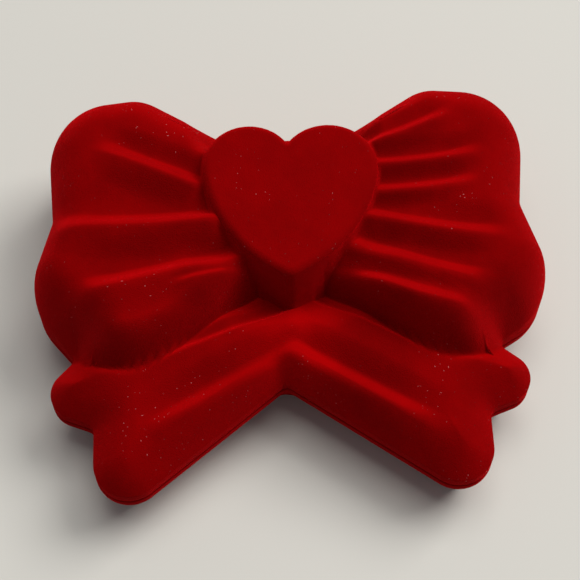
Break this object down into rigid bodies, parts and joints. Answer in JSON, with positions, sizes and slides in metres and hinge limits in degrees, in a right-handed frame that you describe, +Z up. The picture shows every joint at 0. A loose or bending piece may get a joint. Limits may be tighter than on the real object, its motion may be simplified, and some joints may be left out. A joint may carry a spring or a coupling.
{
  "type": "jewelry box",
  "caption": "Hinged jewelry box shaped as a ribbon bow with a raised heart on its knot, flocked in red outside, with a velvet ring pad in the base and a satin puff in the lid.",
  "frame": {"origin": "middle of the box's extents, on the surface that the base stands on", "axes": "+X across the bow to its right as seen from the front, +Y to the rear where the hinge is, +Z up"},
  "size_m": [0.0902, 0.0736, 0.0318],
  "materials": {
    "red_flock": "velvet flock on moulded plastic",
    "ivory_velvet": "short-pile velvet",
    "ivory_satin": "satin",
    "grey_foam": "open-cell foam",
    "brown_card": "uncoated board",
    "hinge_brass": "stamped sheet",
    "hinge_steel": "bright drawn wire"
  },
  "bodies": {
    "base": {"base_shell": "red_flock", "base_collar": "red_flock", "pad_board": "brown_card", "pad_foam": "grey_foam", "pad_cover": "ivory_velvet", "front_roll_foam": "grey_foam", "front_roll_cover": "ivory_velvet", "rear_roll_foam": "grey_foam", "rear_roll_cover": "ivory_velvet", "hinge_base_leaf": "hinge_brass", "base_leaf_rivets": "hinge_steel", "hinge_pins": "hinge_steel"},
    "lid": {"lid_shell": "red_flock", "lid_board": "brown_card", "lid_wadding": "grey_foam", "lid_satin": "ivory_satin", "lid_board_tapes": "grey_foam", "hinge_lid_leaf": "hinge_brass", "lid_leaf_rivets": "hinge_steel"}
  },
  "joints": [
    {"name": "lid_hinge", "type": "hinge", "parent": "base", "child": "lid", "pos_m": [0, 0.03557, 0.0098], "axis": [-1, 0, 0], "range_deg": [0, 95]}
  ]
}
